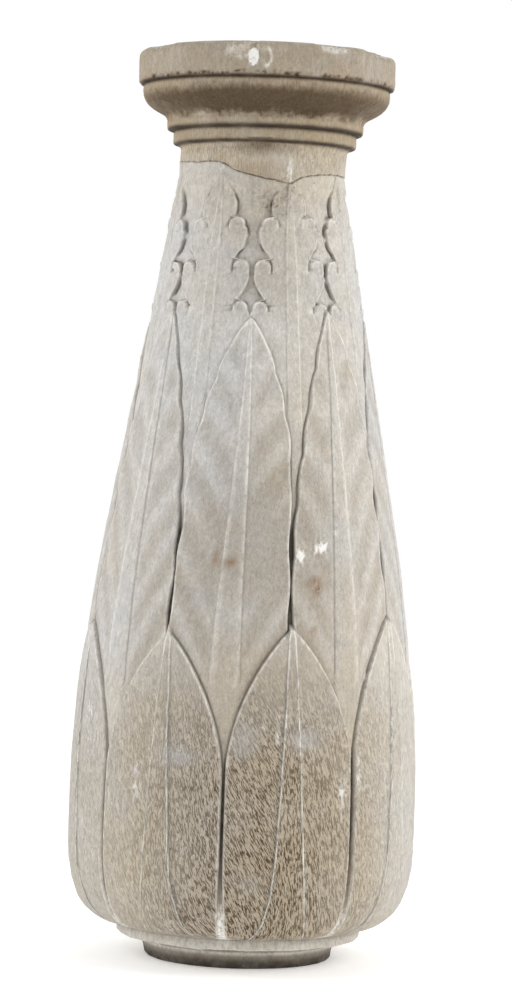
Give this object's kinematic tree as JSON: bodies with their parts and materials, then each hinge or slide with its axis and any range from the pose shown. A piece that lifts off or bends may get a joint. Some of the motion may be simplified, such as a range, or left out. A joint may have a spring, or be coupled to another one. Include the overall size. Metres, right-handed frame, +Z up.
{
  "type": "stone basin pedestal",
  "caption": "Tall pear-shaped stone pedestal carved with overlapping tiers of pointed leaves, on a low round foot, with a mended neck and a moulded round head that carries a basin",
  "frame": {"origin": "on the floor, under the centre of the round foot", "axes": "+Z is up along the pedestal's axis, which is its longest extent and its axis of symmetry; -Y is the front, the side that the picture shows"},
  "size_m": [0.3446, 0.3446, 0.9],
  "materials": {
    "shaft_stone": "matte",
    "head_stone": "matte"
  },
  "bodies": {
    "root": {"carved_shaft": "shaft_stone", "turned_head": "head_stone"}
  },
  "joints": []
}
